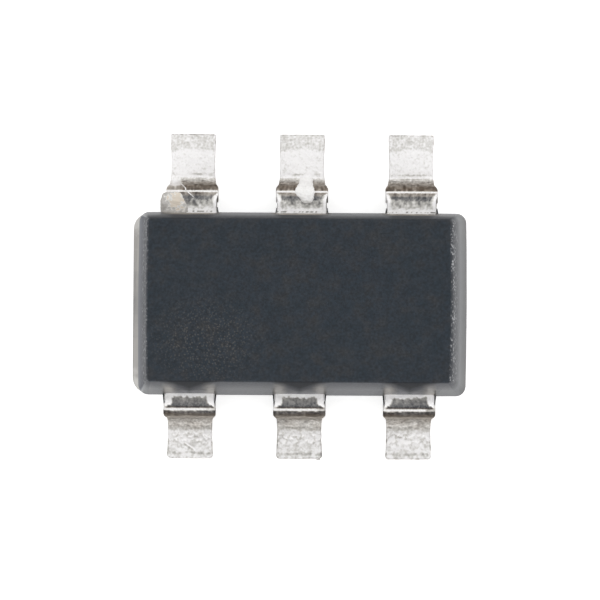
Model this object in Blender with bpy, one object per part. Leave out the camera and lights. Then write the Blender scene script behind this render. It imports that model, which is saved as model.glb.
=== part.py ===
"""Six-lead step-down converter chip in a small-outline package, built at real size.

Sizes are in millimetres. Every piece hangs under one empty, whose scale turns them into metres.
X runs along the body, Y across it from the near row of leads to the far row, and Z up from the feet.
The origin is under the middle of the whole part, on the plane that the feet stand on.
"""

import math

import bmesh
import bpy
from mathutils import Vector
from mathutils.geometry import interpolate_bezier

MILLIMETRE = 0.001

# Whole package: from toe to toe, from the board to the top, and the body's shift towards the near toes
LEAD_SPAN = 2.831
OVERALL_HEIGHT = 1.15
STANDOFF = 0.05
BODY_Y = -0.095

# Moulded resin body
BODY_LENGTH = 2.828
BODY_WIDTH = 1.584
PARTING_HEIGHT = 0.55
LEFT_DRAFT_DEG = 8.1
RIGHT_DRAFT_DEG = 13.3
SIDE_DRAFT_DEG = 9.2
CORNER_RADIUS = 0.085
RIM_CORNER_RADIUS = 0.040
RIM_RADIUS = 0.030
CORNER_SEGMENTS = 6
RIM_SEGMENTS = 3
END_BULGE = 0.008
BULGE_CUTS = 6

# Thin ledge of resin that the mould let out along its parting line, round the left end
VENT_FLASH = 0.050
VENT_FLASH_THICKNESS = 0.020
VENT_FLASH_ABOVE_PARTING = 0.005
VENT_FLASH_ROOT = 0.30
VENT_FLASH_INSET = 0.012

# Lead frame strip, and the room the resin leaves around every piece that it holds
STRIP_THICKNESS = 0.11
LEAD_PITCH = 0.95
CLEARANCE = 0.005
STAMPED_EDGE = 0.012
NECK_WIDTH = 0.425
STUB_WIDTH = 0.460
STUB_LENGTH = 0.12
STUB_RAMP = 0.03
WAIST_WIDTH = 0.383
TOE_WIDTH = 0.398
WAIST_TO_TOE = 0.26
TOE_CORNER = 0.024
SHOULDER_BEND_RADIUS = 0.020
HEEL_BEND_RADIUS = 0.080
BEND_STEP_DEG = 13.0

# Far row of leads: how far it is off the near row's places along X, neck up to the stub of the trimmed
# bar, shoulder, and how far the leg leans out
FAR_ROW_X = 0.012
FAR_NECK = 0.120
FAR_SHOULDER = 0.081
FAR_LEAN_DEG = 10.0

# Near row, formed closer to the body
NEAR_NECK = 0.085
NEAR_SHOULDER = 0.040
NEAR_LEAN_DEG = 2.0

# Resin that crept out beside each lead, as far as the bar that joined the leads
FAR_FLASH = 0.040
NEAR_FLASH = 0.080
FLASH_WIDTH = 0.026
FLASH_TIP = 0.010
FLASH_ROOT = 0.060
FLASH_LAP = 0.030
FLASH_HEIGHT = 0.094

# Inner lead, along the strip from the body's edge towards the middle
LOCK_NOTCH_START = 0.045
LOCK_NOTCH_WIDTH = 0.30
LOCK_NOTCH_LENGTH = 0.05
NOTCH_SLOPE = 0.06
HEAD_WIDTH = 0.46
HEAD_END = 0.335
HEAD_CORNER = 0.035
LOCK_HOLE_RADIUS = 0.045
LOCK_HOLE_FROM_TIP = 0.10
HOLE_SIDES = 16

# Die pad, which is one piece with lead 2 and set down below the other leads
PAD_LENGTH = 1.50
PAD_WIDTH = 0.70
PAD_CORNER = 0.05
PAD_STEP = 0.03
PAD_DROP = 0.10
DROP_ANGLE_DEG = 35.0
DROP_BEND_RADIUS = 0.03
DROP_START = 0.12

# Silicon die and the adhesive under it
DIE_LENGTH = 1.22
DIE_WIDTH = 0.58
DIE_THICKNESS = 0.18
BOND_PAD_SIDE = 0.10
BOND_PAD_HEIGHT = 0.006
BOND_PAD_INSET = 0.075
ADHESIVE_THICKNESS = 0.020
ADHESIVE_MARGIN = 0.030

# Bond wires
SIGNAL_WIRE_RADIUS = 0.0125
POWER_WIRE_RADIUS = 0.019
BALL_WIDENING = 1.9
BALL_HEIGHT = 0.022
BALL_NECK_HEIGHT = 0.035
WIRE_LOOP = 0.16
STITCH_FROM_TIP = 0.055
STITCH_LENGTH = 0.05
STITCH_SQUEEZE = 0.45
WIRE_PAIR_SPACING = 0.16
DOWN_BOND_REACH = 0.080
LOOP_POINTS = 12
# Swell of a ball bond from the die up: (share of its height, share of its full radius)
BALL_PROFILE = ((0.0, 0.8), (0.3, 1.0), (0.7, 1.0), (1.0, 0.8))
# How far the loop leans back towards the ball on its way down, and how much of its height it keeps
LOOP_LEAN = 0.35
LOOP_KEEP = 0.8

RESIN = ((0.022, 0.024, 0.028, 1.0), 0.6, 0.0)
TIN = ((0.78, 0.77, 0.74, 1.0), 0.35, 1.0)
SILICON = ((0.13, 0.14, 0.17, 1.0), 0.25, 0.6)
SILVER_EPOXY = ((0.55, 0.55, 0.55, 1.0), 0.6, 0.5)
GOLD = ((0.94, 0.70, 0.32, 1.0), 0.25, 1.0)

ROUNDING = {"affect": "EDGES", "offset_type": "OFFSET", "profile": 0.5, "material": -1, "clamp_overlap": True}
WELD = 0.0002
STRIP_Z = STANDOFF + PARTING_HEIGHT
HALF_STRIP = STRIP_THICKNESS / 2
HALF_WIDTH = BODY_WIDTH / 2
BODY_X = (VENT_FLASH - END_BULGE) / 2
BODY_THICKNESS = OVERALL_HEIGHT - STANDOFF
# A face that lies level has a normal at least this near to upright
LEVEL = 0.99


class Route:
    """The middle line of the strip seen from the side, as straights and bends joined end to end."""

    def __init__(self, steps):
        self.steps = steps

    def at(self, distance):
        """(forward, up) of the point this far along the strip, and the strip's heading there."""
        here = Vector((0.0, 0.0))
        heading = 0.0
        for length, turn in self.steps:
            run = min(distance, length)
            swept = turn * run / length
            chord = run if not turn else 2 * length / abs(turn) * math.sin(abs(swept) / 2)
            middle = heading + swept / 2
            here += Vector((math.cos(middle), math.sin(middle))) * chord
            heading += swept
            distance -= run
            if distance <= 0:
                break
        return here + Vector((math.cos(heading), math.sin(heading))) * max(distance, 0.0), heading

    def length(self):
        return sum(length for length, _ in self.steps)

    def crossings(self):
        """Distances at which the strip needs a ring of edges: the ends of each step, and more in a bend."""
        found = [0.0]
        for length, turn in self.steps:
            count = max(1, math.ceil(abs(turn) / math.radians(BEND_STEP_DEG)))
            begin = found[-1]
            found += [begin + length * (i + 1) / count for i in range(count)]
        return found


def straight(length):
    return (length, 0.0)


def bend(inner_radius, degrees):
    """A bend of the strip, given by its inside radius. Positive degrees turn it upwards."""
    turn = math.radians(degrees)
    return ((inner_radius + HALF_STRIP) * abs(turn), turn)


def outer_route(shoulder, lean_deg, reach):
    """Shoulder, leg as long as the drop needs, and a foot that ends this far from the body's edge."""
    lean = math.radians(lean_deg)
    turn = 90.0 - lean_deg
    bends = SHOULDER_BEND_RADIUS + HEEL_BEND_RADIUS + STRIP_THICKNESS
    leg = (STRIP_Z - HALF_STRIP - bends * (1 - math.sin(lean))) / math.cos(lean)
    down = bend(SHOULDER_BEND_RADIUS, -turn)
    level = bend(HEEL_BEND_RADIUS, turn)
    steps = [straight(shoulder), down, straight(leg), level]
    heel = Route(steps)
    foot = reach - heel.at(heel.length())[0].x
    return Route([*steps, straight(foot)])


def pad_route():
    """From the body's edge in to the set-down pad."""
    angle = math.radians(DROP_ANGLE_DEG)
    bends = 2 * (DROP_BEND_RADIUS + HALF_STRIP) * (1 - math.cos(angle))
    ramp = (PAD_DROP - bends) / math.sin(angle)
    down = bend(DROP_BEND_RADIUS, -DROP_ANGLE_DEG)
    level = bend(DROP_BEND_RADIUS, DROP_ANGLE_DEG)
    return Route([straight(DROP_START), down, straight(ramp), level])


class Row:
    """One row of leads: which side it is on, its route outside the body, its neck and its flash."""

    def __init__(self, side, shoulder, lean_deg, neck, flash):
        self.side = side
        self.neck = neck
        self.flash = flash
        self.route = outer_route(shoulder, lean_deg, LEAD_SPAN / 2 - side * BODY_Y - HALF_WIDTH)

    def body_edge(self):
        return BODY_Y + self.side * HALF_WIDTH


FAR = Row(1, FAR_SHOULDER, FAR_LEAN_DEG, FAR_NECK, FAR_FLASH)
NEAR = Row(-1, NEAR_SHOULDER, NEAR_LEAN_DEG, NEAR_NECK, NEAR_FLASH)
HEAD_ROUTE = Route([straight(HEAD_END)])
PAD_ROUTE = pad_route()

# Place of each lead along X, and its row
PINS = {
    "lead_1": (-LEAD_PITCH, NEAR),
    "lead_2": (0.0, NEAR),
    "lead_3": (LEAD_PITCH, NEAR),
    "lead_4": (FAR_ROW_X + LEAD_PITCH, FAR),
    "lead_5": (FAR_ROW_X, FAR),
    "lead_6": (FAR_ROW_X - LEAD_PITCH, FAR),
}
PAD_PIN = "lead_2"


def clear_scene():
    for obj in list(bpy.data.objects):
        bpy.data.objects.remove(obj)


def new_collection(name):
    collection = bpy.data.collections.new(name)
    bpy.context.scene.collection.children.link(collection)
    return collection


def new_material(name, look):
    """A Principled material of this colour, roughness and metallic value."""
    colour, roughness, metallic = look
    material = bpy.data.materials.new(name)
    material.use_nodes = True
    shader = material.node_tree.nodes["Principled BSDF"]
    shader.inputs["Base Color"].default_value = colour
    shader.inputs["Roughness"].default_value = roughness
    shader.inputs["Metallic"].default_value = metallic
    return material


def add_object(name, data, collection, parent, material=None):
    obj = bpy.data.objects.new(name, data)
    obj.parent = parent
    collection.objects.link(obj)
    if material:
        data.materials.append(material)
    return obj


def as_cutter(obj):
    obj.hide_render = True
    obj.display_type = "WIRE"
    return obj


def finished(mesh, name):
    """A Blender mesh from a bmesh, with its faces pointing out and its curved faces shaded smooth."""
    bmesh.ops.recalc_face_normals(mesh, faces=mesh.faces)
    data = bpy.data.meshes.new(name)
    mesh.to_mesh(data)
    mesh.free()
    data.shade_smooth()
    data.set_sharp_from_angle(angle=math.radians(35))
    return data


def boolean(obj, operation, operand):
    """Cuts with, or joins, one object or a whole collection."""
    modifier = obj.modifiers.new(operation.lower(), "BOOLEAN")
    modifier.operation = operation
    modifier.solver = "EXACT"
    if isinstance(operand, bpy.types.Collection):
        modifier.operand_type = "COLLECTION"
        modifier.collection = operand
    else:
        modifier.object = operand
    return modifier


def moved_box(mesh, low, high):
    """A box between two corners, added to a bmesh."""
    low, high = Vector(low), Vector(high)
    made = bmesh.ops.create_cube(mesh, size=1.0)["verts"]
    bmesh.ops.scale(mesh, vec=high - low, verts=made)
    bmesh.ops.translate(mesh, vec=(low + high) / 2, verts=made)
    return made


def smooth_step(value):
    value = min(max(value, 0.0), 1.0)
    return value * value * (3 - 2 * value)


def outer_half_width(row, distance):
    """Half the lead's width outside the body: neck, the stub of the trimmed bar, waist and toe."""
    waist_at = row.route.length() - WAIST_TO_TOE
    stub_end = row.neck + STUB_LENGTH
    rise = smooth_step((distance - row.neck + STUB_RAMP) / STUB_RAMP)
    fall = smooth_step((distance - stub_end) / (waist_at - stub_end))
    flare = smooth_step((distance - waist_at) / WAIST_TO_TOE)
    width = NECK_WIDTH + (STUB_WIDTH - NECK_WIDTH) * rise
    width += (WAIST_WIDTH - width) * fall
    width += (TOE_WIDTH - WAIST_WIDTH) * flare
    return width / 2


def outer_stations(row, grow):
    """(distance, half width) from the body's edge to the toe, whose corners are cut."""
    total = row.route.length()
    bends = [d for d in row.route.crossings() if 0 < d < total - WAIST_TO_TOE]
    stub = [row.neck - STUB_RAMP, row.neck]
    places = [d for d in stub if min(abs(d - b) for b in bends) > STAMPED_EDGE] + bends
    places += [total - WAIST_TO_TOE * share for share in (1.0, 0.75, 0.5, 0.25)]
    places += [total - TOE_CORNER + grow]
    found = [(d, outer_half_width(row, d) + grow) for d in sorted(places)]
    return [*found, (total + grow, outer_half_width(row, total) - TOE_CORNER + grow)]


def head_stations(grow):
    """(distance, half width) of an inner finger: neck, lock notch and the head that takes the wire."""
    notch = LOCK_NOTCH_START + NOTCH_SLOPE
    notch_end = notch + LOCK_NOTCH_LENGTH
    return [
        (LOCK_NOTCH_START, NECK_WIDTH / 2 + grow),
        (notch, LOCK_NOTCH_WIDTH / 2 + grow),
        (notch_end, LOCK_NOTCH_WIDTH / 2 + grow),
        (notch_end + NOTCH_SLOPE, HEAD_WIDTH / 2 + grow),
        (HEAD_END - HEAD_CORNER + grow, HEAD_WIDTH / 2 + grow),
        (HEAD_END + grow, HEAD_WIDTH / 2 - HEAD_CORNER + grow),
    ]


def pad_stations(grow):
    """(distance, half width) of the inner part of lead 2: a ramp as wide as the lock notch, then the pad."""
    total = PAD_ROUTE.length()
    pad_start = total + HALF_WIDTH - PAD_ROUTE.at(total)[0].x - PAD_WIDTH / 2
    pad_end = pad_start + PAD_WIDTH
    neck = [(LOCK_NOTCH_START, NECK_WIDTH / 2 + grow)]
    ramp = [(d, LOCK_NOTCH_WIDTH / 2 + grow) for d in PAD_ROUTE.crossings() if d > LOCK_NOTCH_START]
    pad = [
        (pad_start - PAD_STEP - grow, LOCK_NOTCH_WIDTH / 2 + grow),
        (pad_start - grow, PAD_LENGTH / 2 - PAD_CORNER + grow),
        (pad_start + PAD_CORNER - grow, PAD_LENGTH / 2 + grow),
        (pad_end - PAD_CORNER + grow, PAD_LENGTH / 2 + grow),
        (pad_end + grow, PAD_LENGTH / 2 - PAD_CORNER + grow),
    ]
    return [*neck, *ramp, *pad]


def flat_blank(stations, thickness):
    """The stamped strip before forming: a box with a ring of edges at each station, and its width there."""
    mesh = bmesh.new()
    moved_box(mesh, (-1.0, stations[0][0], -thickness / 2), (1.0, stations[-1][0], thickness / 2))
    for distance, _ in stations[1:-1]:
        cut_across(mesh, (0.0, distance, 0.0), (0.0, 1.0, 0.0))
    for vertex in mesh.verts:
        along = vertex.co.y
        vertex.co.x *= min(stations, key=lambda station: abs(station[0] - along))[1]
    return mesh


def form(mesh, pin_x, row, inner):
    """Bends the flat blank along its outer and inner routes and sets it in the row."""
    for vertex in mesh.verts:
        x, along, height = vertex.co
        way = math.copysign(1.0, along)
        point, heading = (row.route if along > 0 else inner).at(abs(along))
        outward = way * (point.x - height * math.sin(heading))
        up = point.y + height * math.cos(heading)
        vertex.co = (pin_x + x, row.body_edge() + row.side * outward, STRIP_Z + up)


def lead(name, collection, parent, material=None, grow=0.0):
    """One lead, stamped from strip and formed. With grow it is the room that the resin leaves for it."""
    pin_x, row = PINS[name.removesuffix("_room")]
    with_pad = name.startswith(PAD_PIN)
    inside = pad_stations(grow) if with_pad else head_stations(grow)
    at_edge = (0.0, outer_half_width(row, 0.0) + grow)
    stations = [(-d, w) for d, w in reversed(inside)] + [at_edge] + outer_stations(row, grow)
    mesh = flat_blank(stations, STRIP_THICKNESS + 2 * grow)
    if not grow:
        sharp = [e for e in mesh.edges if e.calc_face_angle() > math.radians(60)]
        bmesh.ops.bevel(mesh, geom=sharp, offset=STAMPED_EDGE, segments=2, **ROUNDING)
    form(mesh, pin_x, row, PAD_ROUTE if with_pad else HEAD_ROUTE)
    obj = add_object(name, finished(mesh, name), collection, parent, material)
    if not with_pad:
        hole_y = row.body_edge() - row.side * (HEAD_END - LOCK_HOLE_FROM_TIP)
        boolean(obj, "DIFFERENCE", lock_hole(name + "_hole", pin_x, hole_y, LOCK_HOLE_RADIUS - grow, parent))
    return obj


def lock_hole(name, x, y, radius, parent):
    """Cutter for the round hole in a lead's head, through which the resin grips it."""
    mesh = bmesh.new()
    size = {"radius1": radius, "radius2": radius, "depth": 3 * STRIP_THICKNESS}
    bmesh.ops.create_cone(mesh, cap_ends=True, segments=HOLE_SIDES, **size)
    bmesh.ops.translate(mesh, vec=(x, y, STRIP_Z), verts=mesh.verts)
    return as_cutter(add_object(name, finished(mesh, name), bpy.data.collections["cutters"], parent))


PAD_TOP = STRIP_Z - PAD_DROP + HALF_STRIP
ADHESIVE_BASE = PAD_TOP + CLEARANCE
DIE_BASE = ADHESIVE_BASE + ADHESIVE_THICKNESS + CLEARANCE
DIE_TOP = DIE_BASE + DIE_THICKNESS
LEAD_TOP = STRIP_Z + HALF_STRIP


def slab(name, length, width, base, height, collection, parent, material=None, grow=0.0):
    """A flat block centred on the body, such as the adhesive under the die."""
    mesh = bmesh.new()
    low = (-length / 2 - grow, BODY_Y - width / 2 - grow, base - grow)
    high = (length / 2 + grow, BODY_Y + width / 2 + grow, base + height + grow)
    moved_box(mesh, low, high)
    return add_object(name, finished(mesh, name), collection, parent, material)


def bond_sites():
    """Where each wire starts on the die and ends: its name, radius, start, end and the end's height."""
    die_x = DIE_LENGTH / 2 - BOND_PAD_INSET
    die_y = DIE_WIDTH / 2 - BOND_PAD_INSET
    tip_y = HALF_WIDTH - HEAD_END + STITCH_FROM_TIP
    head_x = LEAD_PITCH - HEAD_WIDTH / 2 + STITCH_FROM_TIP
    pair = WIRE_PAIR_SPACING / 2
    pad_x = DIE_LENGTH / 2 + ADHESIVE_MARGIN + DOWN_BOND_REACH
    pad_y = DIE_WIDTH / 2 - BOND_PAD_INSET - BOND_PAD_SIDE
    signal, power = SIGNAL_WIRE_RADIUS, POWER_WIRE_RADIUS
    return [
        ("wire_1", signal, (-die_x, -die_y), (-head_x, -tip_y), LEAD_TOP),
        ("wire_2a", signal, (-die_x, 0.0), (-pad_x, pad_y), PAD_TOP),
        ("wire_2b", signal, (die_x, 0.0), (pad_x, pad_y), PAD_TOP),
        ("wire_3", signal, (die_x, -die_y), (head_x, -tip_y), LEAD_TOP),
        ("wire_4", signal, (die_x, die_y), (head_x, tip_y), LEAD_TOP),
        ("wire_5a", power, (-pair, die_y), (-pair, tip_y), LEAD_TOP),
        ("wire_5b", power, (pair, die_y), (pair, tip_y), LEAD_TOP),
        ("wire_6a", power, (-die_x, die_y), (-head_x, tip_y + STITCH_FROM_TIP), LEAD_TOP),
        ("wire_6b", power, (-die_x + WIRE_PAIR_SPACING, die_y), (-head_x, tip_y), LEAD_TOP),
    ]


def die_mesh(name):
    """The sawn silicon block, with a raised metal pad under each ball bond."""
    mesh = bmesh.new()
    half_length, half_width = DIE_LENGTH / 2, DIE_WIDTH / 2
    low = (-half_length, BODY_Y - half_width, DIE_BASE)
    moved_box(mesh, low, (half_length, BODY_Y + half_width, DIE_TOP))
    return finished(mesh, name)


def bond_pads(parent):
    """The raised pads as helpers that a Boolean joins to the die."""
    pads = new_collection("bond_pads")
    half = BOND_PAD_SIDE / 2
    for name, _, (x, y), _, _ in bond_sites():
        mesh = bmesh.new()
        low = (x - half, BODY_Y + y - half, DIE_TOP - BOND_PAD_HEIGHT)
        high = (x + half, BODY_Y + y + half, DIE_TOP + BOND_PAD_HEIGHT)
        moved_box(mesh, low, high)
        as_cutter(add_object(name + "_pad", finished(mesh, name), pads, parent))
    return pads


def wire_curve(name, radius, start, end, end_z, grow=0.0):
    """One bond wire as a curve whose thickness follows the ball, the wire and the flattened stitch."""
    base = DIE_TOP + BOND_PAD_HEIGHT + CLEARANCE
    ball = Vector((start[0], BODY_Y + start[1], base))
    stitch_z = end_z + CLEARANCE + radius * STITCH_SQUEEZE
    stitch = Vector((end[0], BODY_Y + end[1], stitch_z))
    level = Vector((stitch.x - ball.x, stitch.y - ball.y, 0.0))
    way = level.normalized()
    neck = ball + Vector((0.0, 0.0, BALL_NECK_HEIGHT))
    stitch_start = stitch - way * min(STITCH_LENGTH, level.length / 3)
    stitch_start.z += radius * (1 - STITCH_SQUEEZE)
    rise = Vector((0.0, 0.0, WIRE_LOOP))
    lead_in = stitch_start - way * level.length * LOOP_LEAN + rise * LOOP_KEEP
    loop = interpolate_bezier(neck, neck + rise, lead_in, stitch_start, LOOP_POINTS)
    wide = radius * BALL_WIDENING
    up = Vector((0.0, 0.0, 1.0))
    points = [(ball + up * BALL_HEIGHT * height, wide * swell) for height, swell in BALL_PROFILE]
    points[0] = (ball - up * grow, points[0][1])
    points.append(((points[-1][0] + neck) / 2, radius))
    points += [(p, radius) for p in loop]
    # The room of the stitch dips steeply into the lead's own room, and doesn't graze its top
    points += [(stitch + (way - 2 * up) * grow, radius * STITCH_SQUEEZE + 2 * grow)]
    curve = bpy.data.curves.new(name, "CURVE")
    curve.dimensions = "3D"
    curve.bevel_depth = 1.0
    curve.bevel_resolution = 2
    curve.use_fill_caps = True
    spline = curve.splines.new("POLY")
    spline.points.add(len(points) - 1)
    for target, (place, thickness) in zip(spline.points, points, strict=True):
        target.co = (*place, 1.0)
        target.radius = thickness + grow
    return curve


def tube_mesh(obj):
    """A curve object's closed mesh, with its caps welded to its sides."""
    graph = bpy.context.evaluated_depsgraph_get()
    data = bpy.data.meshes.new_from_object(obj.evaluated_get(graph))
    mesh = bmesh.new()
    mesh.from_mesh(data)
    bmesh.ops.remove_doubles(mesh, verts=mesh.verts, dist=WELD)
    bpy.data.meshes.remove(data)
    return finished(mesh, obj.name)


def wire(site, collection, parent, material=None, grow=0.0):
    name, radius, start, end, end_z = site
    curve = wire_curve(name, radius, start, end, end_z, grow)
    guide = add_object(name + "_guide", curve, collection, parent)
    data = tube_mesh(guide)
    bpy.data.objects.remove(guide)
    label = name + "_room" if grow else name
    return add_object(label, data, collection, parent, material)


def resin_block():
    """The moulded block: round corners that tighten towards the rims, bulged ends, drafted halves."""
    mesh = bmesh.new()
    low = (BODY_X - BODY_LENGTH / 2, BODY_Y - HALF_WIDTH, STANDOFF)
    high = (BODY_X + BODY_LENGTH / 2, BODY_Y + HALF_WIDTH, STANDOFF + BODY_THICKNESS)
    moved_box(mesh, low, high)
    cut_across(mesh, (0.0, 0.0, STRIP_Z), (0.0, 0.0, 1.0))
    upright = [e for e in mesh.edges if abs(e.verts[0].co.z - e.verts[1].co.z) > CLEARANCE]
    bmesh.ops.bevel(mesh, geom=upright, offset=CORNER_RADIUS, segments=CORNER_SEGMENTS, **ROUNDING)
    straight_end = HALF_WIDTH - CORNER_RADIUS
    for i in range(1, BULGE_CUTS):
        across = straight_end * (2 * i / BULGE_CUTS - 1)
        cut_across(mesh, (0.0, BODY_Y + across, 0.0), (0.0, 1.0, 0.0))
    for vertex in mesh.verts:
        x, y, z = vertex.co - Vector((BODY_X, BODY_Y, STRIP_Z))
        half_height = PARTING_HEIGHT if z < 0 else BODY_THICKNESS - PARTING_HEIGHT
        tighter = (CORNER_RADIUS - RIM_CORNER_RADIUS) * abs(z) / half_height
        bulge = END_BULGE * (1 - (y / HALF_WIDTH) ** 2)
        draft = math.radians(LEFT_DRAFT_DEG if x < 0 else RIGHT_DRAFT_DEG)
        outward = bulge - abs(z) * math.tan(draft)
        outward += tighter * (BODY_LENGTH / 2 - abs(x)) / CORNER_RADIUS
        sideways = tighter * min((HALF_WIDTH - abs(y)) / CORNER_RADIUS, 1.0)
        sideways -= abs(z) * math.tan(math.radians(SIDE_DRAFT_DEG))
        vertex.co.x += math.copysign(1.0, x) * outward
        vertex.co.y += min(max(y / straight_end, -1.0), 1.0) * sideways
    mesh.normal_update()
    flat = {f for f in mesh.faces if abs(f.normal.z) > LEVEL}
    rims = [e for e in mesh.edges if len(flat.intersection(e.link_faces)) == 1]
    bmesh.ops.bevel(mesh, geom=rims, offset=RIM_RADIUS, segments=RIM_SEGMENTS, **ROUNDING)
    return finished(mesh, "mould_body")


def cut_across(mesh, point, normal):
    """Adds a ring of edges where a plane crosses the whole mesh."""
    everything = mesh.verts[:] + mesh.edges[:] + mesh.faces[:]
    bmesh.ops.bisect_plane(mesh, geom=everything, plane_co=point, plane_no=normal)


def vent_flash(collection, parent):
    """The thin ledge at the parting line round the left end, as a helper that a Boolean joins to the body."""
    mesh = bmesh.new()
    end = BODY_X - BODY_LENGTH / 2
    top = STRIP_Z + VENT_FLASH_ABOVE_PARTING
    half = HALF_WIDTH - VENT_FLASH_INSET
    low = (end - VENT_FLASH, BODY_Y - half, top - VENT_FLASH_THICKNESS)
    moved_box(mesh, low, (end + VENT_FLASH_ROOT, BODY_Y + half, top))
    corners = []
    for edge in mesh.edges:
        first, last = (v.co for v in edge.verts)
        if first.xy == last.xy and first.x < end:
            corners.append(edge)
    radius = CORNER_RADIUS + VENT_FLASH
    bmesh.ops.bevel(mesh, geom=corners, offset=radius, segments=CORNER_SEGMENTS, **ROUNDING)
    return as_cutter(add_object("vent_flash", finished(mesh, "vent_flash"), collection, parent))


def lead_flash(collection, parent):
    """Small wedges of resin on both sides of every lead, as a helper that a Boolean joins to the body."""
    mesh = bmesh.new()
    for pin_x, row in PINS.values():
        wall = row.body_edge()
        edge = outer_half_width(row, 0.0)
        ends = sorted((wall - row.side * FLASH_ROOT, wall + row.side * row.flash))
        for side in (-1, 1):
            across = sorted((pin_x + side * (edge - FLASH_LAP), pin_x + side * (edge + FLASH_WIDTH)))
            low = (across[0], ends[0], STRIP_Z - FLASH_HEIGHT / 2)
            high = (across[1], ends[1], STRIP_Z + FLASH_HEIGHT / 2)
            for vertex in moved_box(mesh, low, high):
                outside = (vertex.co.y - wall) * row.side > 0
                if outside and abs(vertex.co.x - pin_x) > edge:
                    vertex.co.x = pin_x + side * (edge + FLASH_TIP)
    return as_cutter(add_object("lead_flash", finished(mesh, "lead_flash"), collection, parent))


def main():
    clear_scene()
    parts = new_collection("step_down_chip")
    cutters = new_collection("cutters")
    rooms = new_collection("rooms")
    package = bpy.data.objects.new("package", None)
    package.scale = (MILLIMETRE, MILLIMETRE, MILLIMETRE)
    parts.objects.link(package)
    resin = new_material("moulding compound", RESIN)
    tin = new_material("tin plated copper", TIN)
    silicon = new_material("silicon", SILICON)
    adhesive = new_material("silver filled adhesive", SILVER_EPOXY)
    gold = new_material("gold wire", GOLD)

    for name in PINS:
        lead(name, parts, package, tin)
        as_cutter(lead(name + "_room", rooms, package, None, CLEARANCE))

    margins = 2 * ADHESIVE_MARGIN
    layer = (DIE_LENGTH + margins, DIE_WIDTH + margins, ADHESIVE_BASE, ADHESIVE_THICKNESS)
    slab("die_attach", *layer, parts, package, adhesive)
    as_cutter(slab("die_attach_room", *layer, rooms, package, None, CLEARANCE))

    die = add_object("silicon_die", die_mesh("silicon_die"), parts, package, silicon)
    boolean(die, "UNION", bond_pads(package))
    die_room = (DIE_LENGTH, DIE_WIDTH, DIE_BASE, DIE_THICKNESS + BOND_PAD_HEIGHT)
    as_cutter(slab("silicon_die_room", *die_room, rooms, package, None, CLEARANCE))

    for site in bond_sites():
        wire(site, parts, package, gold)
        as_cutter(wire(site, rooms, package, None, CLEARANCE))

    flash = new_collection("flash")
    vent_flash(flash, package)
    lead_flash(flash, package)
    body = add_object("mould_body", resin_block(), parts, package, resin)
    boolean(body, "UNION", flash)
    boolean(body, "DIFFERENCE", rooms)


main()
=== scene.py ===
"""Looks of a six-lead step-down converter chip, seen from above on a white ground.

The chip is put together as it is made: the tinned leads are formed from strip, the silicon die
is glued down and wired, the resin is moulded round them, and last come the marks of handling.
"""

import math

import bmesh
import bpy
from mathutils import Matrix, Vector, noise


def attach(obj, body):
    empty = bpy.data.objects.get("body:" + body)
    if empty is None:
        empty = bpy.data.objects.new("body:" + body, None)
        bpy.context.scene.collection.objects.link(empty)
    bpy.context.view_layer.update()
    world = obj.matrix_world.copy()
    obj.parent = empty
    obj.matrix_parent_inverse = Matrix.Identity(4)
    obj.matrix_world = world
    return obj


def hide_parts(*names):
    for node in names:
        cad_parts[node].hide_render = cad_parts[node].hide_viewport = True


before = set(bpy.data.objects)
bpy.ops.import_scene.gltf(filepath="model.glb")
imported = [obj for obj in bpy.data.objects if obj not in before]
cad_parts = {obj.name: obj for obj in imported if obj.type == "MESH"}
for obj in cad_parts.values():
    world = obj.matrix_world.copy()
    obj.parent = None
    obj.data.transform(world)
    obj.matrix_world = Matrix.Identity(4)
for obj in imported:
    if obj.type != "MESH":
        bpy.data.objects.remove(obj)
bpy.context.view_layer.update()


# Six leads. Each is stamped from copper alloy strip, plated with matte tin and bent to a gull wing.
# The forming punch burnishes the shoulder and scrapes the leg, and the cut stub of the bar that
# joined the leads stands out on both sides just past the neck. The darker shoulder, bend, leg and
# heel also carry painted shade and painted reflection. Sizes are in millimetres.

MILLIMETRE = 0.001
MM_PER_METRE = 1000.0
STRIP_THICKNESS = 0.11
STRIP_Z = 0.6
STAMPED_EDGE = 0.012
PLATED_EDGE = STAMPED_EDGE * 0.75
NECK_WIDTH = 0.431
STUB_WIDTH = 0.452
STUB_LENGTH = 0.12
STUB_RAMP = 0.03
WAIST_WIDTH = 0.383
TOE_WIDTH = 0.398
WAIST_TO_TOE = 0.26
SHOULDER_RADIUS = 0.020
HEEL_RADIUS = 0.080
LEAD_PITCH = 0.95
LEAD_SPAN = 2.831
BODY_Y = -0.095
BODY_WIDTH = 1.584
# The dense part of a lead starts a little inside the resin, where it joins the plain inner part
BURIED = 0.02
MESH_STEP = 0.0078
WELD = 0.00005
RIM_ANGLE_DEG = 60
SHARP_ANGLE_DEG = 42
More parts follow.
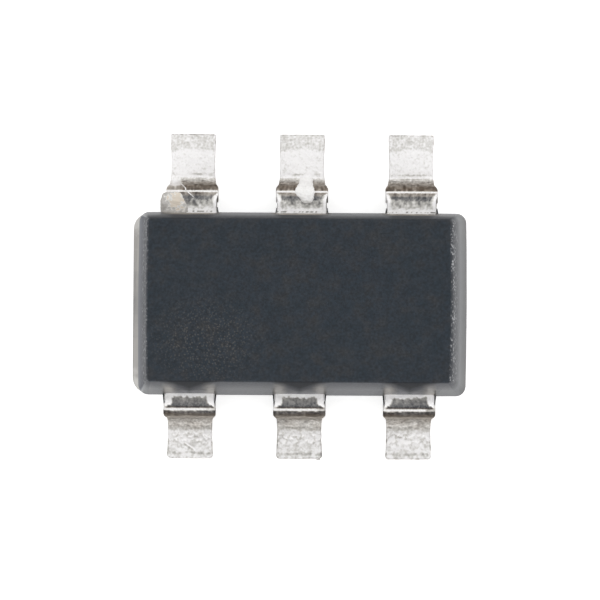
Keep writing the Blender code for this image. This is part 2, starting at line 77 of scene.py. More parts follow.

# The far row has the longer shoulder and leans out, and the near row drops almost straight. A value
# whose name ends in shade runs from 0, bright plating, to 1, dark: burnished, and on the patch, leg
# and heel also painted shade and painted reflection. Patch, lip, margin, crest, leg, heel, scrapes
# and toe_corner are places and widths on the strip, and the others say how strong a mark is, among
# them the painted shade that deepens the patch towards the bend and darkens the start of the leg.
ROWS = {
    "far": {
        "side": 1, "shoulder": 0.081, "lean": 10.0, "neck": 0.120,
        "patch": (0.092, 0.137), "patch_shade": 0.86, "lip": 0.017, "margin": 0.044,
        "ragged": 0.010, "painted_shade_to_bend": 0.06, "mottle": 1.0, "haze": 0.46, "crest": 0.147,
        "leg": (0.44, 0.66), "leg_shade": 0.69, "painted_shade_at_leg_start": 0.0, "leg_streaks": 0.55,
        "leg_brown": 1.0, "heel": 0.706, "heel_shade": 0.46,
        "foot_shade": 0.0, "foot_grain": 0.12, "crinkle": 0.25, "scrapes": (0.712, 0.764),
        "toe_shade": 0.17, "toe_line": 0.0, "toe_corner": 0.010,
    },
    "near": {
        "side": -1, "shoulder": 0.040, "lean": 2.0, "neck": 0.085,
        "patch": (0.020, 0.084), "patch_shade": 0.57, "lip": 0.0, "margin": 0.060,
        "ragged": 0.018, "painted_shade_to_bend": 0.42, "mottle": 0.6, "haze": 0.0, "crest": 0.093,
        "leg": (0.24, 0.42), "leg_shade": 0.78, "painted_shade_at_leg_start": 0.16, "leg_streaks": 0.20,
        "leg_brown": 0.12, "heel": 0.725, "heel_shade": 0.41,
        "foot_shade": 0.03, "foot_grain": 0.22, "crinkle": 1.0, "scrapes": (),
        "toe_shade": 0.07, "toe_line": 0.20, "toe_corner": 0.024,
    },
}
FAR_ROW_X = 0.012
LEADS = {
    "lead_1": (-LEAD_PITCH, "near"),
    "lead_2": (0.0, "near"),
    "lead_3": (LEAD_PITCH, "near"),
    "lead_4": (FAR_ROW_X + LEAD_PITCH, "far"),
    "lead_5": (FAR_ROW_X, "far"),
    "lead_6": (FAR_ROW_X - LEAD_PITCH, "far"),
}
# A fold that the trimming tool left on the foot of the first lead, with a painted highlight on its
# ridge and a painted shadow beside it: (across, along) of its ends
FOOT_FOLD = {"lead_1": ((-0.050, 0.827), (0.047, 0.893))}
# Under a film of bleed, the leg of the last lead has less painted shade and brown on its left: how
# far across that side reaches from the left, and where a bright gap lies in it
PALER_LEG = {"lead_6": (-0.105, -0.155)}


def place_along(steps, distance):
    """(forward, up) and heading of the point this far along a route."""
    here = Vector((0.0, 0.0))
    heading = 0.0
    if distance < 0:
        return Vector((distance, 0.0)), heading
    for length, turn in steps:
        run = min(distance, length)
        swept = turn * run / length
        chord = run if not turn else 2 * length / abs(turn) * math.sin(abs(swept) / 2)
        middle = heading + swept / 2
        here += Vector((math.cos(middle), math.sin(middle))) * chord
        heading += swept
        distance -= run
        if distance <= 0:
            break
    return here, heading


def lead_route(row):
    """Shoulder, bend, leg, bend and foot of the strip's middle line, as (length, turn) steps."""
    lean = math.radians(row["lean"])
    turn = math.pi / 2 - lean
    half = STRIP_THICKNESS / 2
    bends = SHOULDER_RADIUS + HEEL_RADIUS + STRIP_THICKNESS
    leg = (STRIP_Z - half - bends * (1 - math.sin(lean))) / math.cos(lean)
    steps = [(row["shoulder"], 0.0), ((SHOULDER_RADIUS + half) * turn, -turn), (leg, 0.0)]
    steps.append(((HEEL_RADIUS + half) * turn, turn))
    level = sum(length for length, _ in steps)
    reach = LEAD_SPAN / 2 - row["side"] * BODY_Y - BODY_WIDTH / 2
    foot = reach - place_along(steps, level)[0].x
    return [*steps, (foot, 0.0)]


for row in ROWS.values():
    row["steps"] = lead_route(row)
    row["total"] = sum(length for length, _ in row["steps"])


def on_lead(name, across, along, height):
    """The point this far across and along a lead's strip, and this high over its middle line."""
    pin_x, row_name = LEADS[name]
    row = ROWS[row_name]
    point, heading = place_along(row["steps"], along)
    forward = point.x - height * math.sin(heading)
    up = point.y + height * math.cos(heading)
    return Vector((pin_x + across, BODY_Y + row["side"] * (BODY_WIDTH / 2 + forward), STRIP_Z + up))


def smooth_step(low, high, value):
    """0 below low, 1 above high, and an even S between them."""
    share = min(max((value - low) / (high - low), 0.0), 1.0)
    return share * share * (3 - 2 * share)


def ridge(value, centre, width):
    """1 at the centre, falling off smoothly on both sides."""
    return math.exp(-(((value - centre) / width) ** 2))


def half_width(row, along):
    """Half the lead's width this far from the resin: neck, stub, waist, and a toe's cut corners."""
    total = row["total"]
    rise = smooth_step(row["neck"] - STUB_RAMP, row["neck"], along)
    fall = smooth_step(row["neck"] + STUB_LENGTH, total - WAIST_TO_TOE, along)
    flare = smooth_step(total - WAIST_TO_TOE, total, along)
    width = NECK_WIDTH + (STUB_WIDTH - NECK_WIDTH) * rise
    width += (WAIST_WIDTH - width) * fall
    width += (TOE_WIDTH - WAIST_WIDTH) * flare
    into_corner = max(along - (total - row["toe_corner"]), 0.0)
    return width / 2 - into_corner * into_corner / row["toe_corner"]


# How wide the patches of wear are: grain of the plating, rubbing, broad wear, streaks of the
# punch, scrapes of the bending tool and creases of the press. The last value is how far apart two
# layers lie in the noise.
FINE_GRAIN = 0.018
ROUGH_GRAIN = 0.040
BROAD_GRAIN = 0.11
STREAK_WIDTH = 0.026
SCRAPE_WIDTH = 0.020
CREASE_WIDTH = 0.046
LAYER_STEP = 7.3


def grain(across, along, layer, size):
    """Noise from -1 to 1 whose patches are about this many millimetres wide."""
    return noise.noise(Vector((across / size, along / size, layer * LAYER_STEP)))


def fold_at(name, across, along):
    """How close a point of the flat strip is to the fold on a foot, which has a painted highlight,
    and to the painted shadow beside it.
    """
    if name not in FOOT_FOLD:
        return 0.0, 0.0
    first, last = (Vector(end) for end in FOOT_FOLD[name])
    run = last - first
    here = Vector((across, along)) - first
    share = min(max(here.dot(run) / run.length_squared, 0.0), 1.0)
    away = here - run * share
    inside = 1 - abs(2 * share - 1) ** 4
    from_fold_shadow = away - Vector((-0.010, 0.012))
    return ridge(away.length, 0.0, 0.009) * inside, ridge(from_fold_shadow.length, 0.0, 0.008) * inside


def lead_marks(name, row, across, along, layer):
    """Shade (0 plated, 1 burnished), brown, and how far out the flat strip's surface stands."""
    fine = grain(across, along, layer, FINE_GRAIN)
    rough = grain(across, along, layer + 1, ROUGH_GRAIN)
    broad = grain(across, along, layer + 2, BROAD_GRAIN)
    streak = grain(across, 0.3 * along, layer + 3, STREAK_WIDTH)
    scraped = grain(across, 0.07 * along, layer + 6, SCRAPE_WIDTH)
    total, crest = row["total"], row["crest"]
    edge = half_width(row, along) - abs(across)

    # The patch that the punch burnished, ragged towards the resin and wider towards the bend. Its
    # dark tone is partly painted reflection of the dark opening above, with painted shade deepening
    # towards the bend
    first, last = row["patch"]
    before_bend = 1 - smooth_step(last - 0.001, last + 0.004, along)
    flare = smooth_step(last - 0.022, last - 0.004, along)
    margin = row["margin"] * (1 - 0.7 * flare) + 0.016 * rough
    start = first + row["ragged"] * streak + 0.010 * fine
    patch = smooth_step(start - 0.004, start + 0.006, along)
    patch *= smooth_step(margin - 0.004, margin + 0.008, edge)
    patch *= before_bend
    painted_shade_to_bend = smooth_step(first, last, along)
    lip = 0.0
    if row["lip"]:
        lip_start = last - row["lip"]
        lip = smooth_step(lip_start - 0.004, lip_start + 0.002, along)
    mottled = row["mottle"] * (0.20 * rough + 0.14 * fine)
    shade = patch * (row["patch_shade"] + row["painted_shade_to_bend"] * painted_shade_to_bend - 0.36 * lip + mottled)
    haze = smooth_step(0.024, 0.036, along + 0.02 * streak) * smooth_step(0.020, 0.050, edge)
    haze *= before_bend
    haze *= 0.55 + 0.45 * smooth_step(0.03, 0.085, along)
    shade = max(shade, haze * row["haze"] * (1.0 + 1.2 * rough + 0.8 * fine))
    inside = smooth_step(0.0, 0.02, edge)
    brown = max(ridge(along, last, 0.005), 0.7 * lip * patch) * inside
    shade = max(shade, 0.55 * ridge(along, last, 0.004) * inside)

    # The leg, scraped along its length, and the heel, both darkened with painted shade and painted
    # reflection
    leg_fade, leg_end = row["leg"]
    leg = smooth_step(crest + 0.008, crest + 0.013, along + 0.004 * rough)
    paler_side, gap = 0.0, 0.0
    if name in PALER_LEG:
        paler_to, gap_at = PALER_LEG[name]
        paler_side = smooth_step(paler_to + 0.012, paler_to - 0.012, across + 0.020 * rough)
        gap = ridge(across, gap_at + 0.010 * rough, 0.022) * smooth_step(0.28, 0.42, along)
    fade = smooth_step(leg_fade, leg_end, along + 0.05 * rough + 0.18 * broad + 0.11 * paler_side)
    leg *= (1 - 0.35 * paler_side) * (1 - 0.8 * gap)
    scrapes_and_painted_shade = min(row["leg_shade"] + row["leg_streaks"] * scraped + 0.12 * fine, 0.86)
    scrapes_and_painted_shade += row["painted_shade_at_leg_start"] * ridge(along, crest + 0.018, 0.024)
    shade = max(shade, leg * (1 - fade) * scrapes_and_painted_shade)
    brown = max(brown, leg * (1 - fade) * row["leg_brown"] * (0.8 + 0.6 * broad))
    brown = max(brown, 0.8 * leg * ridge(along, leg_end - 0.05, 0.07))
    past_heel = smooth_step(row["heel"] - 0.03, row["heel"] + 0.03, along + 0.03 * rough)
    heel = leg * (1 - past_heel) * (1 - 0.7 * paler_side)
    shade = max(shade, heel * (row["heel_shade"] + 0.22 * rough + 0.20 * fine))
    brown = max(brown, 0.35 * heel * (1 + broad))
    for scrape in row["scrapes"]:
        broken = smooth_step(-0.30, 0.20, broad + 0.4 * rough) * ridge(across, 0.0, 0.15)
        shade += 0.42 * ridge(along, scrape + 0.004 * rough, 0.008) * broken

    # The foot: plating crinkled by the press, with grey creases of painted shade between its
    # swellings, and a toe that the trimming tool wiped grey
    foot = smooth_step(row["heel"], row["heel"] + 0.04, along)
    calm = 1 - 0.8 * smooth_step(total - 0.15, total - 0.12, along)
    slanted = across + 0.5 * along + 0.020 * rough
    crease_groove_and_shade = ridge(grain(slanted, along + 0.015 * fine, layer + 4, CREASE_WIDTH), 0.0, 0.20)
    speckled = row["foot_grain"] * (rough + 0.6 * fine)
    shade += foot * (row["foot_shade"] + speckled + 0.05 * broad)
    shade += foot * calm * row["crinkle"] * (0.30 * crease_groove_and_shade - 0.10)
    toe_edge = total - 0.132 - 0.03 * (2 * across / TOE_WIDTH) ** 2 + 0.02 * rough
    toe = smooth_step(toe_edge - 0.01, toe_edge + 0.01, along)
    toe_line = ridge(along, total - 0.045 + 0.010 * broad, 0.011)
    shade += row["toe_shade"] * toe * (1 + 0.6 * fine)
    shade += row["toe_line"] * toe_line * (1 + 0.8 * rough)
    # Painted light along the far row's foot edges, and painted shade along the near row's
    painted_rim_light_and_shade = foot * smooth_step(0.014, 0.004, edge) * smooth_step(-0.3, 0.2, broad)
    shade -= 0.22 * row["side"] * painted_rim_light_and_shade
    if row["side"] > 0:
        seam = ridge(along, 0.003, 0.005) * smooth_step(-0.1, 0.25, streak + 0.5 * fine)
        # A painted shadow along the right side of the far row's neck
        neck_side_shadow = smooth_step(0.008, 0.004, edge) * smooth_step(0.0, 0.02, across)
        shade = max(shade, 0.85 * seam, 0.65 * neck_side_shadow * (along < row["neck"]))
    else:
        crest_end = ridge(along, crest, 0.012) * smooth_step(0.13, 0.16, across)
        shade += 0.40 * crest_end * (0.8 + rough)
    # A painted highlight on the fold and a painted shadow beside it
    fold_ridge_and_highlight, fold_shadow = fold_at(name, across, along)
    shade += 0.34 * fold_shadow - 0.28 * fold_ridge_and_highlight
    push = 0.0009 * fine + 0.0016 * rough + row["crinkle"] * foot * calm * 0.005 * (0.4 - crease_groove_and_shade)
    push += 0.006 * fold_ridge_and_highlight
    return min(max(shade, 0.0), 1.0), min(max(brown, 0.0), 1.0), push


def lead_piece(name, material):
    """One lead: the CAD piece's inner part, joined at the resin to a dense outer part."""
    row = ROWS[LEADS[name][1]]
    side, total = row["side"], row["total"]
    top_layer = 3.0 + 11.0 * list(LEADS).index(name)
    under_layer = top_layer + 5
    mesh = bmesh.new()
    columns = round(STUB_WIDTH / MESH_STEP)
    rows = round((total + BURIED) / MESH_STEP)
    bmesh.ops.create_grid(mesh, x_segments=columns, y_segments=rows, size=0.5)
    for vertex in mesh.verts:
        along = (vertex.co.y + 0.5) * (total + BURIED) - BURIED
        vertex.co.x *= 2 * half_width(row, along)
        vertex.co.y = along
    bmesh.ops.solidify(mesh, geom=mesh.faces[:], thickness=STRIP_THICKNESS)
    bmesh.ops.recalc_face_normals(mesh, faces=mesh.faces)
    middle = sum(v.co.z for v in mesh.verts) / len(mesh.verts)
    bmesh.ops.translate(mesh, vec=(0.0, 0.0, -middle), verts=mesh.verts)
    rims = [e for e in mesh.edges if e.calc_face_angle() > math.radians(RIM_ANGLE_DEG)]
    bmesh.ops.bevel(
        mesh, geom=rims, offset=PLATED_EDGE, segments=2, affect="EDGES", profile=0.5, material=-1
    )
    mesh.normal_update()
    # This mark holds both the burnishing and the painted shade and painted reflection on the tin
    burnish_and_shade = mesh.verts.layers.float.new("burnish_and_shade")
    stain = mesh.verts.layers.float.new("stain")
    normals = [v.normal.copy() for v in mesh.verts]
    for vertex, normal in zip(mesh.verts, normals, strict=True):
        across, along, height = vertex.co
        layer = top_layer if height > 0 else under_layer
        vertex[burnish_and_shade], vertex[stain], push = lead_marks(name, row, across, along, layer)
        past_resin = smooth_step(-BURIED, BURIED, along)
        vertex.co = on_lead(name, *(vertex.co + normal * push * past_resin))
        vertex.co.z = max(vertex.co.z, 0.0)
    inner = bmesh.new()
    inner.from_mesh(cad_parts[name].data)
    bmesh.ops.scale(inner, vec=(MM_PER_METRE,) * 3, verts=inner.verts)
    bmesh.ops.remove_doubles(inner, verts=inner.verts, dist=WELD)
    cut = (0.0, BODY_Y + side * (BODY_WIDTH / 2 - BURIED), 0.0)
    everything = inner.verts[:] + inner.edges[:] + inner.faces[:]
    bmesh.ops.bisect_plane(
        inner, geom=everything, plane_co=cut, plane_no=(0.0, side, 0.0), clear_outer=True
    )
    bmesh.ops.holes_fill(inner, edges=[e for e in inner.edges if len(e.link_faces) == 1])
    inner_data = bpy.data.meshes.new(name + "_inner")
    inner.to_mesh(inner_data)
    inner.free()
    mesh.from_mesh(inner_data)
    bpy.data.meshes.remove(inner_data)
    piece = finish_piece(name + "_formed", mesh, material)
    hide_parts(name)
    return piece


def finish_piece(name, mesh, material):
    """Turns a bmesh in millimetres into an object in metres that rides on the part."""
    bmesh.ops.recalc_face_normals(mesh, faces=mesh.faces)
    bmesh.ops.scale(mesh, vec=(MILLIMETRE,) * 3, verts=mesh.verts)
    data = bpy.data.meshes.new(name)
    mesh.to_mesh(data)
    mesh.free()
    data.shade_smooth()
    data.set_sharp_from_angle(angle=math.radians(SHARP_ANGLE_DEG))
    data.materials.append(material)
    piece = bpy.data.objects.new(name, data)
    bpy.context.scene.collection.objects.link(piece)
    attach(piece, "root")
    return piece


def linear(hex_colour):
    """A linear RGBA colour from an sRGB hex value."""
    channels = [int(hex_colour[i : i + 2], 16) / 255 for i in (1, 3, 5)]
    curve = [c / 12.92 if c <= 0.04045 else ((c + 0.055) / 1.055) ** 2.4 for c in channels]
    return (*curve, 1.0)


def add_node(material, kind, sockets=None, stops=None, **settings):
    """Adds a node with its settings, its sockets' values and links, and a ramp's stops.

    A socket is given by name or number. A stop's colour is an sRGB hex value or a grey level.
    """
    tree = material.node_tree
    made = tree.nodes.new(kind)
    for setting, value in settings.items():
        setattr(made, setting, value)
    for socket, value in (sockets or {}).items():
        if isinstance(value, bpy.types.NodeSocket):
            tree.links.new(value, made.inputs[socket])
        else:
            made.inputs[socket].default_value = value
    if stops:
        ramp = made.color_ramp
        while len(ramp.elements) < len(stops):
            ramp.elements.new(1.0)
        for element, (position, colour) in zip(ramp.elements, stops, strict=True):
            element.position = position
            element.color = linear(colour) if isinstance(colour, str) else (colour,) * 3 + (1.0,)
    return made


def new_material(name):
    """An empty material, its Principled shader, and its Object coordinates in millimetres."""
    material = bpy.data.materials.new(name)
    material.use_nodes = True
    place = add_node(material, "ShaderNodeTexCoord")
    scaled = add_node(
        material, "ShaderNodeMapping",
        {"Vector": place.outputs["Object"], "Scale": (MM_PER_METRE,) * 3},
    )
    return material, material.node_tree.nodes["Principled BSDF"], scaled.outputs["Vector"]


def set_shader(material, shader, **sockets):
    """Sets or links the Principled shader's sockets, named with underscores for spaces."""
    for socket, value in sockets.items():
        target = shader.inputs[socket.replace("_", " ")]
        if isinstance(value, bpy.types.NodeSocket):
            material.node_tree.links.new(value, target)
        else:
            target.default_value = value


# Matte tin plated on copper alloy. Its crystals of 15 to 30 microns scatter the light, so the foot
# looks white and grainy, while the burnished shoulder mirrors the dark opening over the chip. The
# darker shades are partly painted reflection of that opening and painted shade on the bend, leg
# and heel.
TIN_SHADES = [
    (0.0, "#FEFDFD"), (0.25, "#DCDAD6"), (0.5, "#B2B0AC"), (0.75, "#7F7E7D"), (1.0, "#48494C"),
]
TIN_BROWN = linear("#DCC6B3")
TIN_EDGE = linear("#A89F96")
CRYSTAL_SIZE = 0.019
FACET_SIZE = 0.026
TIN_RELIEF = 0.003 * MILLIMETRE

tin, tin_shader, tin_mm = new_material("matte tin plate on copper alloy")
crystals = add_node(
    tin, "ShaderNodeTexNoise", {"Vector": tin_mm, "Scale": 1 / CRYSTAL_SIZE, "Detail": 2.0}
)
facets = add_node(tin, "ShaderNodeTexVoronoi", {"Vector": tin_mm, "Scale": 1 / FACET_SIZE})
# The mark read here is burnishing together with painted shade and painted reflection
burnish_and_shade_mark = add_node(tin, "ShaderNodeAttribute", attribute_name="burnish_and_shade")
stain_mark = add_node(tin, "ShaderNodeAttribute", attribute_name="stain")
crystal_shade = add_node(
    tin, "ShaderNodeMath", {0: crystals.outputs["Fac"], 1: 0.50, 2: -0.275},
    operation="MULTIPLY_ADD",
)
tin_shade = add_node(
    tin, "ShaderNodeMath", {0: burnish_and_shade_mark.outputs["Fac"], 1: crystal_shade.outputs[0]},
    operation="ADD", use_clamp=True,
)
tin_tone = add_node(tin, "ShaderNodeValToRGB", {"Fac": tin_shade.outputs[0]}, TIN_SHADES)
brown_share = add_node(
    tin, "ShaderNodeMath", {0: stain_mark.outputs["Fac"], 1: tin_shade.outputs[0]},
    operation="MULTIPLY", use_clamp=True,
)
tin_colour = add_node(
    tin, "ShaderNodeMix", {0: brown_share.outputs[0], 6: tin_tone.outputs["Color"], 7: TIN_BROWN},
    data_type="RGBA", blend_type="MULTIPLY",
)
tin_rough = add_node(
    tin, "ShaderNodeMapRange", {"Value": tin_shade.outputs[0], "To Min": 0.60, "To Max": 0.36}
)
tin_relief = add_node(
    tin, "ShaderNodeMath", {0: facets.outputs["Distance"], 1: crystals.outputs["Fac"]},
    operation="ADD",
)
tin_bump = add_node(
    tin, "ShaderNodeBump",
    {"Height": tin_relief.outputs[0], "Strength": 0.3, "Distance": TIN_RELIEF},
)
set_shader(
    tin, tin_shader, Metallic=1.0, Base_Color=tin_colour.outputs[2], Roughness=tin_rough.outputs[0],
    Normal=tin_bump.outputs[0], Specular_Tint=TIN_EDGE,
)

for lead_name in LEADS:
    lead_piece(lead_name, tin)


# Silver-filled adhesive: a paste that is dabbed on the pad of lead 2 and cured under the die. It is
# grey and slightly grainy with its metal flakes.
FLAKE_SIZE = 0.02

adhesive, adhesive_shader, adhesive_mm = new_material("silver filled adhesive")
flakes = add_node(
    adhesive, "ShaderNodeTexNoise", {"Vector": adhesive_mm, "Scale": 1 / FLAKE_SIZE, "Detail": 2.0}
)
flake_tone = add_node(
    adhesive, "ShaderNodeValToRGB", {"Fac": flakes.outputs["Fac"]},
    [(0.3, "#8E8E8C"), (0.7, "#C4C4C2")],
)
set_shader(
    adhesive, adhesive_shader, Base_Color=flake_tone.outputs["Color"], Metallic=0.5, Roughness=0.55
)
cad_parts["die_attach"].data.materials[0] = adhesive


# The die: a chip sawn from a polished silicon wafer, dark and glassy. Its circuit blocks show as
# faint tints.
CIRCUIT_BLOCK_SIZE = 0.12

silicon, silicon_shader, silicon_mm = new_material("sawn silicon")
blocks = add_node(
    silicon, "ShaderNodeTexVoronoi", {"Vector": silicon_mm, "Scale": 1 / CIRCUIT_BLOCK_SIZE},
    distance="CHEBYCHEV",
)
block_tone = add_node(
    silicon, "ShaderNodeValToRGB", {"Fac": blocks.outputs["Distance"]},
    [(0.1, "#5A5F66"), (0.6, "#6E6672")],
)
set_shader(
    silicon, silicon_shader, Base_Color=block_tone.outputs["Color"], Metallic=0.7, Roughness=0.22
)
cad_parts["silicon_die"].data.materials[0] = silicon


# Bond wires: gold drawn to 25 and 38 microns, melted to a ball on the die and pressed flat on the
# lead. The drawing leaves faint marks, which make the shine uneven.
BOND_WIRES = (
    "wire_1", "wire_2a", "wire_2b", "wire_3", "wire_4", "wire_5a", "wire_5b", "wire_6a", "wire_6b",
)
DRAWING_MARK_SIZE = 0.01

gold, gold_shader, gold_mm = new_material("drawn gold wire")
drawn = add_node(
    gold, "ShaderNodeTexNoise", {"Vector": gold_mm, "Scale": 1 / DRAWING_MARK_SIZE, "Detail": 2.0}
)
gold_rough = add_node(
    gold, "ShaderNodeMapRange", {"Value": drawn.outputs["Fac"], "To Min": 0.18, "To Max": 0.34}
)
set_shader(
    gold, gold_shader, Base_Color=linear("#F2CC7A"), Metallic=1.0, Roughness=gold_rough.outputs[0]
)
for wire_name in BOND_WIRES:
    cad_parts[wire_name].data.materials[0] = gold


# The moulded body: black epoxy full of glass beads. The mould's spark-eroded top leaves the top
# face matte and finely mottled, its drafted walls are smoother, the rims at both short ends are
# chipped and sparkle, and a pale ledge of flash runs round the left end.
SLATE_TONES = [(0.30, "#17222B"), (0.50, "#1E262E"), (0.70, "#26292D")]
WALL_GREY = linear("#3A3D44")
SPECK_BEIGE = linear("#8A8072")
BEAD_SIZE = 0.012
MOTTLE_SIZE = 0.020
TINT_SIZE = 0.10
RESIN_RELIEF = 0.003 * MILLIMETRE
FLAT_ANGLE_DEG = 0.4

resin, resin_shader, resin_mm = new_material("glass filled epoxy moulding compound")
beads = add_node(
    resin, "ShaderNodeTexNoise", {"Vector": resin_mm, "Scale": 1 / BEAD_SIZE, "Detail": 2.0}
)
mottle = add_node(
    resin, "ShaderNodeTexNoise", {"Vector": resin_mm, "Scale": 1 / MOTTLE_SIZE, "Detail": 3.0}
)
tint = add_node(
    resin, "ShaderNodeTexNoise", {"Vector": resin_mm, "Scale": 1 / TINT_SIZE, "Detail": 4.0}
)
spot = add_node(resin, "ShaderNodeSeparateXYZ", {"Vector": resin_mm})
height_mm = spot.outputs["Z"]
facing = add_node(resin, "ShaderNodeNewGeometry")
turned = add_node(resin, "ShaderNodeSeparateXYZ", {"Vector": facing.outputs["Normal"]})
base_tone = add_node(resin, "ShaderNodeValToRGB", {"Fac": tint.outputs["Fac"]}, SLATE_TONES)
mottle_shade = add_node(
    resin, "ShaderNodeMapRange",
    {
        "Value": mottle.outputs["Fac"],
        "From Min": 0.3, "From Max": 0.7, "To Min": 0.62, "To Max": 1.46,
    },
)
on_walls = add_node(
    resin, "ShaderNodeMapRange", {"Value": height_mm, "From Min": 1.145, "From Max": 1.115}
)
body_tone = add_node(
    resin, "ShaderNodeMix", {0: on_walls.outputs[0], 6: base_tone.outputs["Color"], 7: WALL_GREY},
    data_type="RGBA",
)
mottled = add_node(
    resin, "ShaderNodeVectorMath", {0: body_tone.outputs[2], "Scale": mottle_shade.outputs[0]},
    operation="SCALE",
)

# Specks of pale dust pressed into the top, gathered towards the near left corner
SPECK_SIZE = 0.019
SPECKS_X, SPECKS_Y = -0.80, -0.45
SPECKS_LENGTH, SPECKS_WIDTH = 0.52, 0.42

speck_place = add_node(
    resin, "ShaderNodeMapping",
    {
        "Vector": resin_mm,
        "Location": (-SPECKS_X / SPECKS_LENGTH, -SPECKS_Y / SPECKS_WIDTH, 0.0),
        "Scale": (1 / SPECKS_LENGTH, 1 / SPECKS_WIDTH, 0.0),
    },
)
speck_away = add_node(
    resin, "ShaderNodeVectorMath", {0: speck_place.outputs["Vector"]}, operation="LENGTH"
)
speck_zone = add_node(
    resin, "ShaderNodeMapRange",
    {"Value": speck_away.outputs["Value"], "From Min": 1.1, "From Max": 0.4, "To Max": 0.22},
)
speck_cells = add_node(resin, "ShaderNodeTexVoronoi", {"Vector": resin_mm, "Scale": 1 / SPECK_SIZE})
speck_dots = add_node(
    resin, "ShaderNodeValToRGB", {"Fac": speck_cells.outputs["Distance"]},
    [(0.15, 1.0), (0.46, 0.0)],
)
speck_pick = add_node(
    resin, "ShaderNodeValToRGB", {"Fac": mottle.outputs["Fac"]}, [(0.40, 0.0), (0.50, 1.0)]
)
speck_here = add_node(
    resin, "ShaderNodeMath", {0: speck_dots.outputs["Color"], 1: speck_pick.outputs["Color"]},
    operation="MULTIPLY",
)
speck_share = add_node(
    resin, "ShaderNodeMath", {0: speck_here.outputs[0], 1: speck_zone.outputs[0]},
    operation="MULTIPLY",
)
with_specks = add_node(
    resin, "ShaderNodeMix", {0: speck_share.outputs[0], 6: mottled.outputs[0], 7: SPECK_BEIGE},
    data_type="RGBA",
)

# Both short ends are greyer than the top, and graded down the wall with painted reflection. The
# left one is palest just above the parting line, with painted light from the pale ledge, and the
# right one is black there.
LEFT_END_GREY_AND_REFLECTION = [
    (0.56, "#4A4C52"), (0.60, "#C8CACE"), (0.70, "#9A9CA2"), (0.80, "#76787E"), (0.98, "#484A4F"),
]
RIGHT_END_GREY_AND_REFLECTION = [(0.62, "#0A0B0D"), (0.72, "#2C2F34"), (0.84, "#494C52"), (0.96, "#43454A")]

end_facing = add_node(resin, "ShaderNodeMath", {0: turned.outputs["X"]}, operation="ABSOLUTE")
is_right = add_node(
    resin, "ShaderNodeMapRange", {"Value": turned.outputs["X"], "From Min": -0.1, "From Max": 0.1}
)
end_reach = add_node(
    resin, "ShaderNodeMath", {0: is_right.outputs[0], 1: 0.18, 2: end_facing.outputs[0]},
    operation="MULTIPLY_ADD",
)
on_end = add_node(
    resin, "ShaderNodeMapRange", {"Value": end_reach.outputs[0], "From Min": 0.42, "From Max": 0.90}
)
left_tone = add_node(resin, "ShaderNodeValToRGB", {"Fac": height_mm}, LEFT_END_GREY_AND_REFLECTION)
right_tone = add_node(resin, "ShaderNodeValToRGB", {"Fac": height_mm}, RIGHT_END_GREY_AND_REFLECTION)
end_tone = add_node(
    resin, "ShaderNodeMix",
    {0: is_right.outputs[0], 6: left_tone.outputs["Color"], 7: right_tone.outputs["Color"]},
    data_type="RGBA",
)
end_share = add_node(resin, "ShaderNodeMath", {0: on_end.outputs[0], 1: 0.85}, operation="MULTIPLY")
with_ends = add_node(
    resin, "ShaderNodeMix",
    {0: end_share.outputs[0], 6: with_specks.outputs[2], 7: end_tone.outputs[2]},
    data_type="RGBA",
)

# Where the ends meet the top, the mould chipped the rim in an uneven band of bright nicks
RIM_GREY = linear("#BEBFC2")
CHIP_SIZE = 0.027

wavy = add_node(
    resin, "ShaderNodeMath", {0: tint.outputs["Fac"], 1: 0.30, 2: height_mm},
    operation="MULTIPLY_ADD",
)
chip_reach = add_node(
    resin, "ShaderNodeMath", {0: is_right.outputs[0], 1: -0.16, 2: wavy.outputs[0]},
    operation="MULTIPLY_ADD",
)
near_top = add_node(
    resin, "ShaderNodeMapRange",
    {"Value": chip_reach.outputs[0], "From Min": 0.94, "From Max": 1.10},
)
rim_zone = add_node(
    resin, "ShaderNodeMath", {0: on_end.outputs[0], 1: near_top.outputs[0]}, operation="MULTIPLY"
)
chip_cells = add_node(resin, "ShaderNodeTexVoronoi", {"Vector": resin_mm, "Scale": 1 / CHIP_SIZE})
chip_light = add_node(
    resin, "ShaderNodeValToRGB", {"Fac": chip_cells.outputs["Distance"]}, [(0.12, 1.0), (0.56, 0.0)]
)
chip_pick = add_node(
    resin, "ShaderNodeValToRGB", {"Fac": mottle.outputs["Fac"]}, [(0.42, 0.0), (0.56, 1.0)]
)
chip_cluster = add_node(
    resin, "ShaderNodeValToRGB", {"Fac": tint.outputs["Fac"]}, [(0.40, 0.55), (0.52, 1.0)]
)
picked = add_node(
    resin, "ShaderNodeMath", {0: chip_pick.outputs["Color"], 1: chip_cluster.outputs["Color"]},
    operation="MULTIPLY",
)
chipped = add_node(
    resin, "ShaderNodeMath", {0: chip_light.outputs["Color"], 1: picked.outputs[0]},
    operation="MULTIPLY",
)
chip_strength = add_node(
    resin, "ShaderNodeMapRange",
    {
        "Value": turned.outputs["X"],
        "From Min": -0.1, "From Max": 0.1, "To Min": 0.60, "To Max": 1.25,
    },
)
rim_chips = add_node(
    resin, "ShaderNodeMath", {0: rim_zone.outputs[0], 1: chipped.outputs[0]}, operation="MULTIPLY"
)
rim_share = add_node(
    resin, "ShaderNodeMath", {0: rim_chips.outputs[0], 1: chip_strength.outputs[0]},
    operation="MULTIPLY",
)
with_rims = add_node(
    resin, "ShaderNodeMix", {0: rim_share.outputs[0], 6: with_ends.outputs[2], 7: RIM_GREY},
    data_type="RGBA",
)

# Over each lead the long walls are darker with painted shade, where the lead keeps the light of the
# ground off them, in a bowl that narrows downwards on the near side and in a plain band on the far
# side
ARC_PAINTED_SHADE = linear("#191B1E")

